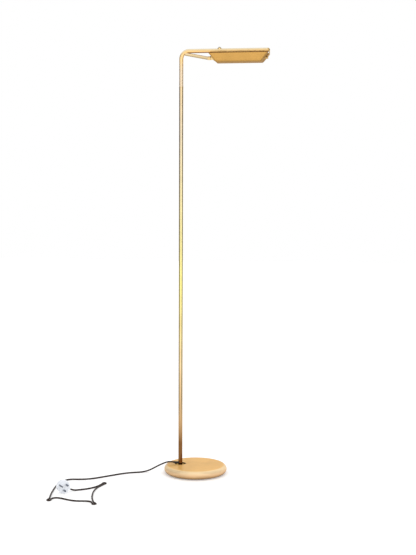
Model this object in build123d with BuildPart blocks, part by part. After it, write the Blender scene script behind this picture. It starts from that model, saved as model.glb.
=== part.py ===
"""Floor lamp: weighted round base, offset stem, swivelling arm and a rocking trough shade.

Millimetres, +Z up. The origin is on the floor under the middle of the round base, and +X runs
from the stem towards the shade.
"""
import os
from math import cos, pi, radians, sin, tan

from build123d import *

os.makedirs("parts", exist_ok=True)

# Round base
base_diameter = 250.0
base_height = 36.0
cover_floor_gap = 2.0
cover_wall = 1.5
cover_lip_width = 8.0
weight_gap = 0.2
pad_gap = 1.0
pad_edge = 0.8

# Well around the foot of the stem
stem_offset = 62.0
well_diameter = 45.0
well_depth = 5.0
well_edge = 0.6
liner_wall = 1.5
liner_sink = 0.3
flange_thickness = 2.0
flange_edge = 0.5

# Stem and its fixing in the base
tube_diameter = 16.0
tube_wall = 1.0
seat_gap = 0.1
glue_gap = 0.05
bolt_pocket_diameter = 44.0
bolt_pocket_depth = 8.3
foot_plug_length = 18.0
bolt_diameter = 8.0
bolt_grip = 14.0
bolt_head_width = 13.0
bolt_head_height = 5.3
washer_diameter = 34.0
washer_thickness = 2.0
stem_end_gap = 0.3

# Flex bush in the side of the stem
bush_height = 38.6
bush_turn = 20.0
bush_rise = 9.0
bush_length = 22.0
bush_root_diameter = 9.2
bush_tip_diameter = 7.2
bush_neck_diameter = 7.4
bush_neck_length = 2.6

# Swivel between stem and arm
swivel_drop = 138.0
swivel_gap = 0.1
running_gap = 0.05
spigot_diameter = 12.0
spigot_bore = 8.0
spigot_depth = 62.0
spigot_rise = 30.0
collar_thickness = 2.5
collar_overhang = 0.7
sleeve_length = 58.0
screw_drop = 40.0
screw_diameter = 4.0
screw_tip_diameter = 2.5
groove_depth = 1.2
groove_width = 3.2
groove_land_angle = 6.0
screw_socket_diameter = 2.0
screw_socket_depth = 1.2

# Arm and its diagonal stay
arm_height = 1674.0
arm_reach = 339.5
arm_bend_radius = 30.0
stay_diameter = 12.6
stay_wall = 1.0
stay_root_reach = 16.0
stay_root_drop = 11.0
stay_block_diameter = 14.0
stay_block_lead = 8.5
stay_block_length = 10.0

# Shade trough
shade_overhang = 4.0
shade_length = 230.0
shade_height = 33.0
shade_top_width = 84.0
shade_bottom_width = 76.0
shade_corner_radius = 16.0
shade_end_run = 26.5
skin_wall = 1.2
end_wall = 4.0
end_edge = 2.0
rim_drop = 13.5

# Rocking pivots of the shade
pivot_drop = 15.0
boss_diameter = 14.0
boss_inside = 13.0
boss_flange_diameter = 25.0
boss_flange_thickness = 3.0
washer_gap = 0.1
tilt_washer_thickness = 1.0
pin_diameter = 8.0
pin_bore = 5.0
pin_seat = 6.0
pin_end = 5.0
ring_nut_diameter = 13.0
ring_nut_thickness = 4.0
right_boss_diameter = 11.0
right_boss_inside = 8.0
pivot_screw_diameter = 6.0
pivot_head_diameter = 9.0
pivot_head_thickness = 1.8
pivot_head_sink = 1.4
pivot_head_edge = 0.4
pivot_slot_width = 1.2
pivot_slot_depth = 0.9

# Cast bracket at the end of the arm
bracket_spigot_length = 14.0
strap_width = 12.0
strap_thickness = 3.0
strap_rim_gap = 0.8
strap_knee_drop = 3.0
tab_stand_off = 6.2
tab_rise = 4.5
tab_fall = 6.0
grub_diameter = 4.0
grub_length = 5.0
grub_setback = 7.0
grub_slot_width = 0.8
grub_slot_depth = 1.0

# Push switch on top of the arm
switch_reach = 151.0
bezel_diameter = 15.0
bezel_neck_diameter = 10.0
bezel_rise = 2.4
bezel_neck_drop = 4.5
bezel_edge = 0.6
button_diameter = 7.8
button_rise = 3.6
button_collar_diameter = 9.4
button_collar_thickness = 2.0
button_collar_gap = 0.3
button_edge = 0.8
button_travel = 2.0
button_bore_gap = 0.1
switch_body_diameter = 10.0
switch_body_height = 3.4
switch_stop_gap = 0.3

# Light source inside the shade
lamp_end_room = 58.0
lamp_cap_length = 15.0
lamp_tube_diameter = 11.0
lamp_tube_wall = 1.0
lamp_cap_diameter = 7.2
lamp_cap_plug = 3.0
lamp_fit_gap = 0.1
filament_diameter = 1.0
holder_thickness = 12.0
holder_width = 14.0
holder_over_lamp = 7.0
holder_edge = 1.5
socket_diameter = 7.6
socket_depth = 6.0
socket_end_gap = 0.2
reflector_end_room = 43.0
reflector_bottom_width = 30.0
reflector_top_width = 68.0
reflector_rise = 20.0
reflector_sheet = 0.8
bridge_width = 16.0
bridge_sheet = 1.2
bridge_tab_over_lamp = 3.0
stud_end_room = 27.0
stud_diameter = 4.0
stud_over_nut = 1.0
nut_width = 7.0
nut_height = 3.2

# Wires inside the tubes and the shade
lead_diameter = 5.0
lead_wall_gap = 0.3
lead_end_gap = 6.0
feed_diameter = 3.0
feed_gap = 0.2
cross_lead_diameter = 2.4
cross_lead_shift = 11.0
cross_lead_gap = 0.1

# Flex and mains plug
flex_diameter = 6.0
flex_floor_gap = 0.1
flex_lead = 12.0
flex_plug_lead = 9.0
flex_arc_share = 0.45
plug_diameter = 49.0
plug_base_thickness = 8.0
plug_cover_thickness = 13.0
plug_edge = 2.0
plug_cover_edge = 4.0
plug_face_x = -433.5
plug_face_y = -377.4
plug_floor_gap = 0.2
plug_face_heading = -54.0
plug_roll = 27.0
plug_sleeve_diameter = 10.0
plug_sleeve_length = 8.0
pin_spacing = 22.2
earth_pin_rise = 22.2
pin_row_shift = 5.0
live_pin_length = 17.7
live_pin_width = 6.35
live_pin_thickness = 4.0
earth_pin_length = 22.7
earth_pin_width = 4.0
earth_pin_depth = 8.0
pin_root = 6.0
plug_screw_diameter = 7.0
plug_screw_shift = 2.0
plug_screw_sink = 0.6
plug_screw_depth = 4.0
plug_slot_width = 1.2

cut_over = 10.0

# Places worked out from the sizes above
base_radius = base_diameter / 2
tube_radius = tube_diameter / 2
tube_bore_radius = tube_radius - tube_wall
stem_x = -stem_offset
arm_end_x = stem_x + arm_reach
cover_edge_radius = (base_height - cover_floor_gap) / 2
cover_middle = cover_floor_gap + cover_edge_radius
flat_radius = base_radius - cover_edge_radius
lip_radius = flat_radius - cover_lip_width
weight_inset = cover_wall + weight_gap
weight_bottom = cover_floor_gap + weight_inset
well_radius = well_diameter / 2
well_floor = base_height - well_depth
pocket_ceiling = weight_bottom + bolt_pocket_depth
stem_bottom = pocket_ceiling + stem_end_gap
swivel_height = arm_height - swivel_drop
stem_top = swivel_height - collar_thickness
rim_height = arm_height - rim_drop
shade_floor = rim_height - shade_height
pivot_height = rim_height - pivot_drop
shade_right = arm_end_x + shade_overhang
shade_left = shade_right - shade_length
shade_middle = (shade_left + shade_right) / 2
end_slope = shade_end_run / shade_height
left_pivot_x = shade_left + pivot_drop * end_slope
right_pivot_x = shade_right - pivot_drop * end_slope
skin_floor = shade_floor + skin_wall
lamp_length = shade_length - lamp_end_room * 2
lamp_tube_length = lamp_length - lamp_cap_length * 2
reflector_length = shade_length - reflector_end_room * 2
stud_spacing = lamp_length - stud_end_room * 2

BOTTOM = (Align.CENTER, Align.CENTER, Align.MIN)

left_face = Plane((shade_left, 0, rim_height), x_dir=(0, 1, 0), z_dir=(-shade_height, 0, -shade_end_run))
right_face = Plane((shade_right, 0, rim_height), x_dir=(0, 1, 0), z_dir=(shade_height, 0, -shade_end_run))


def post(radius, x, bottom, height, mode=Mode.ADD):
    """Upright cylinder over the lamp's middle line."""
    with Locations((x, 0, bottom)):
        Cylinder(radius, height, align=BOTTOM, mode=mode)


def rod(radius, start, height, length, mode=Mode.ADD):
    """Cylinder that runs along +X at one height."""
    with Locations((start, 0, height)):
        Cylinder(radius, length, rotation=(0, 90, 0), align=BOTTOM, mode=mode)


def save(piece, name):
    """Labels a finished piece and writes its file."""
    piece.part.label = name
    export_step(piece.part, "parts/" + name + ".step")


def rounded_disc(inset):
    """Closed outline of the base's full-round section, drawn in by an inset."""
    top = base_height - inset
    bottom = cover_floor_gap + inset
    Polyline((flat_radius, bottom), (0, bottom), (0, top), (flat_radius, top))
    ThreePointArc((flat_radius, top), (base_radius - inset, cover_middle), (flat_radius, bottom))


# Spun cover of the base, rolled under to a lip
with BuildPart() as base_cover:
    with BuildSketch(Plane.XZ):
        with BuildLine():
            rounded_disc(0)
        make_face()
        with BuildLine():
            rounded_disc(cover_wall)
        make_face(mode=Mode.SUBTRACT)
        with Locations((0, cover_floor_gap)):
            Rectangle(lip_radius, cover_wall, align=(Align.MIN, Align.MIN), mode=Mode.SUBTRACT)
    revolve(axis=Axis.Z)
    post(well_radius, stem_x, base_height - cover_edge_radius, base_height, mode=Mode.SUBTRACT)
    round_edges = base_cover.edges().filter_by(GeomType.CIRCLE)
    well_rims = round_edges.filter_by(lambda rim: rim.radius < lip_radius / 2)
    fillet(well_rims.sort_by(Axis.Z)[-1], well_edge)
save(base_cover, "base_cover")

# Cast iron weight that fills the cover
with BuildPart() as base_weight:
    with BuildSketch(Plane.XZ):
        with BuildLine():
            rounded_disc(weight_inset)
        make_face()
    revolve(axis=Axis.Z)
    post(well_radius, stem_x, well_floor, base_height, mode=Mode.SUBTRACT)
    post(tube_radius + seat_gap, stem_x, 0, base_height, mode=Mode.SUBTRACT)
    post(bolt_pocket_diameter / 2, stem_x, 0, pocket_ceiling, mode=Mode.SUBTRACT)
save(base_weight, "base_weight")

# Felt pad that the lamp stands on
with BuildPart() as floor_pad:
    Cylinder(lip_radius - pad_gap, weight_bottom, align=BOTTOM)
    fillet(floor_pad.edges().group_by(Axis.Z)[0], pad_edge)
save(floor_pad, "floor_pad")

# Black rubber liner of the well
liner_bore_radius = well_radius - liner_wall
with BuildPart() as well_liner:
    post(well_radius - glue_gap, stem_x, well_floor, well_depth - liner_sink)
    post(liner_bore_radius, stem_x, 0, base_height, mode=Mode.SUBTRACT)
save(well_liner, "well_liner")

# Brass flange brazed to the stem, which seats on the well's floor
with BuildPart() as foot_flange:
    post(liner_bore_radius - weight_gap, stem_x, well_floor, flange_thickness)
    chamfer(foot_flange.edges().group_by(Axis.Z)[-1], flange_edge)
    post(tube_radius + glue_gap, stem_x, 0, base_height, mode=Mode.SUBTRACT)
save(foot_flange, "foot_flange")

# Flex bush: its axis leaves the stem to the left, turned a little to the front and rising
bush_direction = Vector(
    -cos(radians(bush_rise)) * cos(radians(bush_turn)),
    -cos(radians(bush_rise)) * sin(radians(bush_turn)),
    sin(radians(bush_rise)),
)
bush_root = Vector(stem_x, 0, bush_height) + bush_direction * tube_radius
bush_plane = Plane(bush_root, z_dir=bush_direction)

with BuildPart() as cord_bush:
    with BuildSketch(bush_plane):
        Circle(bush_root_diameter / 2)
    with BuildSketch(bush_plane.offset(bush_length)):
        Circle(bush_tip_diameter / 2)
    loft()
    post(tube_radius + glue_gap, stem_x, 0, base_height * 2, mode=Mode.SUBTRACT)
    with BuildSketch(bush_plane.offset(-bush_neck_length)):
        Circle(bush_neck_diameter / 2)
    extrude(amount=bush_neck_length + tube_wall)
save(cord_bush, "cord_bush")

# Stem tube, from the bolt pocket to the swivel
screw_height = swivel_height - screw_drop
with BuildPart() as stem_tube:
    post(tube_radius, stem_x, stem_bottom, stem_top - stem_bottom)
    post(tube_bore_radius, stem_x, stem_bottom, stem_top - stem_bottom, mode=Mode.SUBTRACT)
    with BuildSketch(bush_plane.offset(-tube_radius)):
        Circle(bush_neck_diameter / 2 + glue_gap)
    extrude(amount=tube_diameter, mode=Mode.SUBTRACT)
    with Locations((stem_x, 0, screw_height)):
        Cylinder(
            screw_diameter / 2 + glue_gap,
            tube_diameter,
            rotation=(-90, 0, 0),
            align=BOTTOM,
            mode=Mode.SUBTRACT,
        )
save(stem_tube, "stem_tube")

# Plug brazed into the foot of the stem, with its bolt and washer
with BuildPart() as foot_plug:
    post(tube_bore_radius - glue_gap, stem_x, stem_bottom, foot_plug_length)
    post(bolt_diameter / 2, stem_x, stem_bottom, bolt_grip + stem_end_gap, mode=Mode.SUBTRACT)
save(foot_plug, "foot_plug")

with BuildPart() as foot_washer:
    post(washer_diameter / 2, stem_x, pocket_ceiling - washer_thickness, washer_thickness)
    post(bolt_diameter / 2 + stem_end_gap, stem_x, 0, base_height, mode=Mode.SUBTRACT)
save(foot_washer, "foot_washer")

bolt_seat = pocket_ceiling - washer_thickness
with BuildPart() as foot_bolt:
    with BuildSketch(Plane.XY.offset(bolt_seat)):
        with Locations((stem_x, 0)):
            RegularPolygon(bolt_head_width / 2, 6, major_radius=False)
    extrude(amount=-bolt_head_height)
    post(bolt_diameter / 2 - glue_gap, stem_x, bolt_seat, washer_thickness + bolt_grip)
save(foot_bolt, "foot_bolt")

# Swivel bush: a sleeve in the stem's top with a collar that carries the arm
sleeve_bore_radius = spigot_diameter / 2 + running_gap
with BuildPart() as swivel_bush:
    post(tube_radius + collar_overhang, stem_x, stem_top, collar_thickness)
    fillet(swivel_bush.edges(), collar_overhang / 2)
    post(tube_bore_radius - glue_gap, stem_x, stem_top - sleeve_length, sleeve_length)
    post(sleeve_bore_radius, stem_x, 0, arm_height, mode=Mode.SUBTRACT)
    with Locations((stem_x, 0, screw_height)):
        Cylinder(
            screw_diameter / 2 + glue_gap,
            tube_diameter,
            rotation=(-90, 0, 0),
            align=BOTTOM,
            mode=Mode.SUBTRACT,
        )
save(swivel_bush, "swivel_bush")

# Spigot of the arm, with a groove that a land interrupts to stop the turn
spigot_radius = spigot_diameter / 2
groove_floor_radius = spigot_radius - groove_depth
with BuildPart() as swivel_spigot:
    post(spigot_radius, stem_x, swivel_height - spigot_depth, spigot_depth + swivel_gap)
    post(tube_bore_radius - glue_gap, stem_x, swivel_height + swivel_gap, spigot_rise)
    with BuildSketch(Plane.XY.offset(screw_height - groove_width / 2)):
        with Locations((stem_x, 0)):
            Circle(tube_radius)
            Circle(groove_floor_radius, mode=Mode.SUBTRACT)
        with BuildLine():
            land_half = tan(radians(groove_land_angle / 2)) * tube_diameter
            Polyline(
                (stem_x, 0),
                (stem_x - land_half, -tube_diameter),
                (stem_x + land_half, -tube_diameter),
                close=True,
            )
        make_face(mode=Mode.SUBTRACT)
    extrude(amount=groove_width, mode=Mode.SUBTRACT)
    post(spigot_bore / 2, stem_x, 0, arm_height, mode=Mode.SUBTRACT)
save(swivel_spigot, "swivel_spigot")

# Retaining screw at the back of the stem, whose tip runs in the groove
screw_seat_radius = sleeve_bore_radius
with BuildPart() as retaining_screw:
    with Locations((stem_x, screw_seat_radius, screw_height)):
        Cylinder(screw_diameter / 2, tube_radius - screw_seat_radius, rotation=(-90, 0, 0), align=BOTTOM)
    with Locations((stem_x, groove_floor_radius + weight_gap, screw_height)):
        Cylinder(screw_tip_diameter / 2, tube_radius - spigot_radius, rotation=(-90, 0, 0), align=BOTTOM)
    with Locations((stem_x, tube_radius - screw_socket_depth, screw_height)):
        Cylinder(
            screw_socket_diameter / 2,
            screw_socket_depth,
            rotation=(-90, 0, 0),
            align=BOTTOM,
            mode=Mode.SUBTRACT,
        )
save(retaining_screw, "retaining_screw")


def arm_sweep(radius):
    """Bent rod along the arm's centre line, from the swivel round the bend to the arm's end."""
    foot = (stem_x, 0, swivel_height + swivel_gap)
    with BuildPart() as sweep_part:
        with BuildLine():
            FilletPolyline(foot, (stem_x, 0, arm_height), (arm_end_x, 0, arm_height), radius=arm_bend_radius)
        with BuildSketch(Plane(foot)):
            Circle(radius)
        sweep()
    return sweep_part.part


# Arm tube with the hole for the switch
switch_x = stem_x + switch_reach
grub_x = arm_end_x - grub_setback
with BuildPart() as arm_tube:
    add(arm_sweep(tube_radius))
    add(arm_sweep(tube_bore_radius), mode=Mode.SUBTRACT)
    post(bezel_neck_diameter / 2 + glue_gap, switch_x, arm_height, tube_diameter, mode=Mode.SUBTRACT)
    with Locations((grub_x, 0, arm_height)):
        Cylinder(
            grub_diameter / 2 + glue_gap,
            tube_diameter,
            rotation=(-90, 0, 0),
            align=BOTTOM,
            mode=Mode.SUBTRACT,
        )
save(arm_tube, "arm_tube")

# Diagonal stay, saddle-cut under the bend, and the pivot block at its lower end
block_start_x = shade_left - stay_block_lead
block_end_x = block_start_x + stay_block_length
stay_root = Vector(stem_x + stay_root_reach, 0, arm_height - stay_root_drop)
stay_tip = Vector(block_start_x, 0, pivot_height)
stay_axis = Plane(stay_root, z_dir=stay_tip - stay_root)
stay_run = (stay_tip - stay_root).length

with BuildPart() as stay_tube:
    with BuildSketch(stay_axis):
        Circle(stay_diameter / 2)
        Circle(stay_diameter / 2 - stay_wall, mode=Mode.SUBTRACT)
    extrude(amount=stay_run + stay_diameter)
    split(bisect_by=Plane((block_start_x, 0, pivot_height), z_dir=(1, 0, 0)), keep=Keep.BOTTOM)
    add(arm_sweep(tube_radius + glue_gap), mode=Mode.SUBTRACT)
    stay_scraps = stay_tube.solids().sort_by(Axis.X)[:-1]
    add(stay_scraps, mode=Mode.SUBTRACT)
save(stay_tube, "stay_tube")

pin_start_x = block_end_x - pin_seat
with BuildPart() as stay_block:
    rod(stay_block_diameter / 2, block_start_x, pivot_height, stay_block_length)
    rod(pin_diameter / 2 + glue_gap, pin_start_x, pivot_height, pin_seat, mode=Mode.SUBTRACT)
    rod(pin_bore / 2, block_start_x, pivot_height, stay_block_length, mode=Mode.SUBTRACT)
save(stay_block, "stay_block")

# Left pivot: boss on the shade, hollow pin and ring nut on the arm
left_boss_x = block_end_x + tilt_washer_thickness + washer_gap
left_boss_end = left_pivot_x + boss_inside
left_pivot_face = Plane((left_pivot_x, 0, pivot_height), x_dir=(0, 1, 0), z_dir=left_face.z_dir)
with BuildPart() as left_boss:
    with BuildSketch(left_pivot_face):
        Circle(boss_flange_diameter / 2)
    extrude(amount=boss_flange_thickness)
    rod(boss_diameter / 2, left_boss_x, pivot_height, left_boss_end - left_boss_x)
    rod(pin_diameter / 2 + running_gap, left_boss_x, pivot_height, shade_length, mode=Mode.SUBTRACT)
    rod(boss_diameter, left_boss_x - cut_over, pivot_height, cut_over, mode=Mode.SUBTRACT)
save(left_boss, "left_boss")

nut_start_x = left_boss_end + washer_gap
with BuildPart() as pivot_pin:
    rod(pin_diameter / 2, pin_start_x, pivot_height, nut_start_x + pin_end - pin_start_x)
    rod(pin_bore / 2, pin_start_x, pivot_height, shade_length, mode=Mode.SUBTRACT)
save(pivot_pin, "pivot_pin")

# Cast bracket: a domed end on a spigot in the arm, and a strap that follows the sloping end of the shade
strap_x = shade_right + strap_rim_gap
tab_x = right_pivot_x + tab_stand_off
knee_height = rim_height - strap_knee_drop
tab_top = pivot_height + tab_rise
tab_bottom = pivot_height - tab_fall
pivot_head_x = tab_x + strap_thickness - pivot_head_sink
pivot_seat_radius = pivot_head_diameter / 2 + glue_gap
grub_start = tube_radius - grub_length
with BuildPart() as end_bracket:
    with BuildSketch(Plane.XZ.offset(-strap_width / 2)):
        with BuildLine():
            Polyline(
                (strap_x, arm_height),
                (strap_x, knee_height),
                (tab_x, tab_top),
                (tab_x, tab_bottom),
                (tab_x + strap_thickness, tab_bottom),
                (tab_x + strap_thickness, tab_top),
                (strap_x + strap_thickness, knee_height),
                (strap_x + strap_thickness, arm_height),
                close=True,
            )
        make_face()
    extrude(amount=strap_width)
    strap_ends = end_bracket.edges().filter_by(Axis.X).group_by(Axis.Z)
    fillet(strap_ends[0] + strap_ends[-1], strap_width / 2 - flange_edge)
    with Locations((arm_end_x, 0, arm_height)):
        Sphere(tube_radius)
    with Locations((arm_end_x, 0, arm_height)):
        Cylinder(tube_diameter, tube_diameter, rotation=(0, -90, 0), align=BOTTOM, mode=Mode.SUBTRACT)
    rod(tube_bore_radius - glue_gap, arm_end_x - bracket_spigot_length, arm_height, bracket_spigot_length)
    rod(pivot_screw_diameter / 2 + glue_gap, tab_x, pivot_height, strap_thickness, mode=Mode.SUBTRACT)
    rod(pivot_seat_radius, pivot_head_x, pivot_height, strap_thickness, mode=Mode.SUBTRACT)
    with Locations((grub_x, grub_start, arm_height)):
        Cylinder(grub_diameter / 2, tube_diameter, rotation=(-90, 0, 0), align=BOTTOM, mode=Mode.SUBTRACT)
save(end_bracket, "end_bracket")

with BuildPart() as bracket_screw:
    with Locations((grub_x, grub_start, arm_height)):
        Cylinder(grub_diameter / 2 - glue_gap, grub_length, rotation=(-90, 0, 0), align=BOTTOM)
    with Locations((grub_x, tube_radius, arm_height)):
        Box(grub_diameter, grub_slot_depth * 2, grub_slot_width, mode=Mode.SUBTRACT)
save(bracket_screw, "bracket_screw")

# Right pivot: boss on the shade, shouldered screw and nut on the arm
right_boss_end = tab_x - tilt_washer_thickness - washer_gap
right_boss_start = right_pivot_x - right_boss_inside
with BuildPart() as right_boss:
    rod(right_boss_diameter / 2, right_boss_start, pivot_height, right_boss_end - right_boss_start)
    right_bore_radius = pivot_screw_diameter / 2 + running_gap
    rod(right_bore_radius, right_boss_start, pivot_height, shade_length, mode=Mode.SUBTRACT)
save(right_boss, "right_boss")

right_nut_end = right_boss_start - washer_gap
with BuildPart() as pivot_screw:
    rod(pivot_head_diameter / 2, pivot_head_x, pivot_height, pivot_head_thickness)
    fillet(pivot_screw.edges().group_by(Axis.X)[-1], pivot_head_edge)
    rod(
        pivot_screw_diameter / 2,
        right_nut_end - ring_nut_thickness,
        pivot_height,
        pivot_head_x - right_nut_end + ring_nut_thickness,
    )
    with Locations((pivot_head_x + pivot_head_thickness, 0, pivot_height)):
        Box(pivot_slot_depth * 2, pivot_head_diameter, pivot_slot_width, mode=Mode.SUBTRACT)
save(pivot_screw, "pivot_screw")

with BuildPart() as pivot_nuts:
    rod(ring_nut_diameter / 2, nut_start_x, pivot_height, ring_nut_thickness)
    rod(pin_diameter / 2 + glue_gap, nut_start_x, pivot_height, ring_nut_thickness, mode=Mode.SUBTRACT)
    rod(right_boss_diameter / 2, right_nut_end - ring_nut_thickness, pivot_height, ring_nut_thickness)
    rod(
        pivot_screw_diameter / 2 + glue_gap,
        right_nut_end - ring_nut_thickness,
        pivot_height,
        ring_nut_thickness,
        mode=Mode.SUBTRACT,
    )
save(pivot_nuts, "pivot_nuts")

with BuildPart() as tilt_washers:
    rod(boss_diameter / 2, block_end_x, pivot_height, tilt_washer_thickness)
    rod(pin_diameter / 2 + glue_gap, block_end_x, pivot_height, tilt_washer_thickness, mode=Mode.SUBTRACT)
    rod(right_boss_diameter / 2, tab_x - tilt_washer_thickness, pivot_height, tilt_washer_thickness)
    rod(
        pivot_screw_diameter / 2 + glue_gap,
        tab_x - tilt_washer_thickness,
        pivot_height,
        tilt_washer_thickness,
        mode=Mode.SUBTRACT,
    )
save(tilt_washers, "tilt_washers")

# Push switch: bezel saddled on the arm, button and body
arm_top = arm_height + tube_radius
bezel_top = arm_top + bezel_rise
bezel_bottom = arm_top - bezel_neck_drop
button_bore_radius = button_diameter / 2 + button_bore_gap
with BuildPart() as switch_bezel:
    post(bezel_diameter / 2, switch_x, arm_height, bezel_top - arm_height)
    fillet(switch_bezel.edges().group_by(Axis.Z)[-1], bezel_edge)
    rod(tube_radius + glue_gap, switch_x - cut_over, arm_height, cut_over * 2, mode=Mode.SUBTRACT)
    post(bezel_neck_diameter / 2, switch_x, bezel_bottom, bezel_neck_drop)
    post(button_bore_radius, switch_x, arm_height, tube_diameter, mode=Mode.SUBTRACT)
save(switch_bezel, "switch_bezel")

button_top = bezel_top + button_rise
collar_top = bezel_bottom - button_collar_gap
collar_bottom = collar_top - button_collar_thickness
with BuildPart() as switch_button:
    post(button_diameter / 2, switch_x, collar_bottom, button_top - collar_bottom)
    fillet(switch_button.edges().group_by(Axis.Z)[-1], button_edge)
    post(button_collar_diameter / 2, switch_x, collar_bottom, button_collar_thickness)
save(switch_button, "switch_button")

switch_body_top = collar_bottom - button_travel - switch_stop_gap
with BuildPart() as switch_body:
    post(switch_body_diameter / 2, switch_x, switch_body_top - switch_body_height, switch_body_height)
save(switch_body, "switch_body")


def trough(side_inset, end_inset, top_rise):
    """Shade-shaped block: drawn in at its sides and ends, and raised above the rim."""
    half_top = shade_top_width / 2 - side_inset
    half_bottom = shade_bottom_width / 2 - side_inset
    flare = (half_top - half_bottom) / shade_height * top_rise
    bottom = shade_floor + side_inset
    top = rim_height + top_rise
    with BuildPart() as block:
        with BuildSketch(Plane.YZ.offset(shade_left - cut_over)) as section:
            with BuildLine():
                Polyline(
                    (-half_top - flare, top),
                    (-half_bottom, bottom),
                    (half_bottom, bottom),
                    (half_top + flare, top),
                    close=True,
                )
            make_face()
            fillet(section.vertices().group_by(Axis.Y)[0], shade_corner_radius - side_inset)
        extrude(amount=shade_length + cut_over * 2)
        split(bisect_by=left_face.offset(-end_inset), keep=Keep.BOTTOM)
        split(bisect_by=right_face.offset(-end_inset), keep=Keep.BOTTOM)
    return block.part


# Shade: a bent skin with a sloping plate let in at each end
with BuildPart() as shade_skin:
    add(trough(0, end_wall, 0))
    add(trough(skin_wall, -cut_over, cut_over), mode=Mode.SUBTRACT)
save(shade_skin, "shade_skin")

with BuildPart() as shade_end_left:
    add(trough(0, 0, 0))
    left_front = shade_end_left.faces().sort_by(Axis(left_face.origin, left_face.z_dir))[-1]
    fillet(left_front.edges().sort_by(Axis.Z)[:-1], end_edge)
    split(bisect_by=left_face.offset(-end_wall), keep=Keep.TOP)
    rod(boss_diameter / 2 + glue_gap, shade_left, pivot_height, shade_length, mode=Mode.SUBTRACT)
save(shade_end_left, "shade_end_left")

with BuildPart() as shade_end_right:
    add(trough(0, 0, 0))
    right_front = shade_end_right.faces().sort_by(Axis(right_face.origin, right_face.z_dir))[-1]
    fillet(right_front.edges().sort_by(Axis.Z)[:-1], end_edge)
    split(bisect_by=right_face.offset(-end_wall), keep=Keep.TOP)
    rod(right_boss_diameter / 2 + glue_gap, shade_left, pivot_height, shade_length, mode=Mode.SUBTRACT)
save(shade_end_right, "shade_end_right")

# Polished reflector on the floor of the shade
stud_places = [(shade_middle - stud_spacing / 2, 0), (shade_middle + stud_spacing / 2, 0)]
reflector_half = reflector_length / 2


def reflector_outline(lift):
    """Open V with a flat floor, closed across its top, lifted by a height."""
    floor_level = skin_floor + lift
    Polyline(
        (-reflector_bottom_width / 2, floor_level),
        (reflector_bottom_width / 2, floor_level),
        (reflector_top_width / 2, floor_level + reflector_rise),
        (-reflector_top_width / 2, floor_level + reflector_rise),
        close=True,
    )


with BuildPart() as reflector:
    with BuildSketch(Plane.YZ.offset(shade_middle - reflector_half)):
        with BuildLine():
            reflector_outline(0)
        make_face()
        with BuildLine():
            reflector_outline(reflector_sheet)
        make_face(mode=Mode.SUBTRACT)
    extrude(amount=reflector_length)
    with Locations(*[(x, y, skin_floor) for x, y in stud_places]):
        Cylinder(stud_diameter / 2 + glue_gap, reflector_sheet, align=BOTTOM, mode=Mode.SUBTRACT)
save(reflector, "reflector")

# Bridge strip with an upturned tab behind each lamp holder
bridge_floor = skin_floor + reflector_sheet
bridge_top = bridge_floor + bridge_sheet
holder_inner = lamp_length / 2 + socket_end_gap - socket_depth
holder_outer = holder_inner + holder_thickness
bridge_half = holder_outer + bridge_sheet
bridge_tab_top = pivot_height + bridge_tab_over_lamp
with BuildPart() as holder_bridge:
    with Locations((shade_middle, 0, bridge_floor)):
        Box(bridge_half * 2, bridge_width, bridge_sheet, align=BOTTOM)
    for side in (-1, 1):
        with Locations((shade_middle + side * (bridge_half - bridge_sheet / 2), 0, bridge_floor)):
            Box(bridge_sheet, bridge_width, bridge_tab_top - bridge_floor, align=BOTTOM)
    with Locations(*[(x, y, bridge_floor) for x, y in stud_places]):
        Cylinder(stud_diameter / 2 + glue_gap, bridge_sheet, align=BOTTOM, mode=Mode.SUBTRACT)
save(holder_bridge, "holder_bridge")

with BuildPart() as bridge_studs:
    with Locations(*[(x, y, skin_floor) for x, y in stud_places]):
        Cylinder(
            stud_diameter / 2, bridge_top + nut_height + stud_over_nut - skin_floor, align=BOTTOM
        )
save(bridge_studs, "bridge_studs")

with BuildPart() as bridge_nuts:
    with BuildSketch(Plane.XY.offset(bridge_top)):
        with Locations(*stud_places):
            RegularPolygon(nut_width / 2, 6, major_radius=False)
            Circle(stud_diameter / 2 + glue_gap, mode=Mode.SUBTRACT)
    extrude(amount=nut_height)
save(bridge_nuts, "bridge_nuts")

# Ceramic lamp holders, one at each end of the lamp
holder_height = pivot_height + holder_over_lamp - bridge_top
for side, holder_name in ((-1, "lamp_holder_left"), (1, "lamp_holder_right")):
    with BuildPart() as lamp_holder:
        with Locations((shade_middle + side * (holder_inner + holder_outer) / 2, 0, bridge_top)):
            Box(holder_thickness, holder_width, holder_height, align=BOTTOM)
        fillet(lamp_holder.edges().filter_by(Axis.X).group_by(Axis.Z)[-1], holder_edge)
        socket_start = shade_middle + side * (holder_inner + socket_depth / 2) - socket_depth / 2
        rod(socket_diameter / 2, socket_start, pivot_height, socket_depth, mode=Mode.SUBTRACT)
    save(lamp_holder, holder_name)

# Double-ended halogen lamp
lamp_start = shade_middle - lamp_length / 2
tube_start = shade_middle - lamp_tube_length / 2
lamp_bore_radius = lamp_tube_diameter / 2 - lamp_tube_wall
with BuildPart() as lamp_tube:
    rod(lamp_tube_diameter / 2, tube_start, pivot_height, lamp_tube_length)
    rod(lamp_bore_radius, tube_start, pivot_height, lamp_tube_length, mode=Mode.SUBTRACT)
save(lamp_tube, "lamp_tube")

cap_inner_x = tube_start + lamp_cap_plug
with BuildPart() as lamp_caps:
    rod(lamp_cap_diameter / 2, lamp_start, pivot_height, tube_start - lamp_start)
    rod(lamp_bore_radius - lamp_fit_gap, tube_start, pivot_height, lamp_cap_plug)
    mirror(about=Plane.YZ.offset(shade_middle))
save(lamp_caps, "lamp_caps")

with BuildPart() as filament:
    rod(filament_diameter / 2, cap_inner_x, pivot_height, (shade_middle - cap_inner_x) * 2)
save(filament, "filament")

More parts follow.
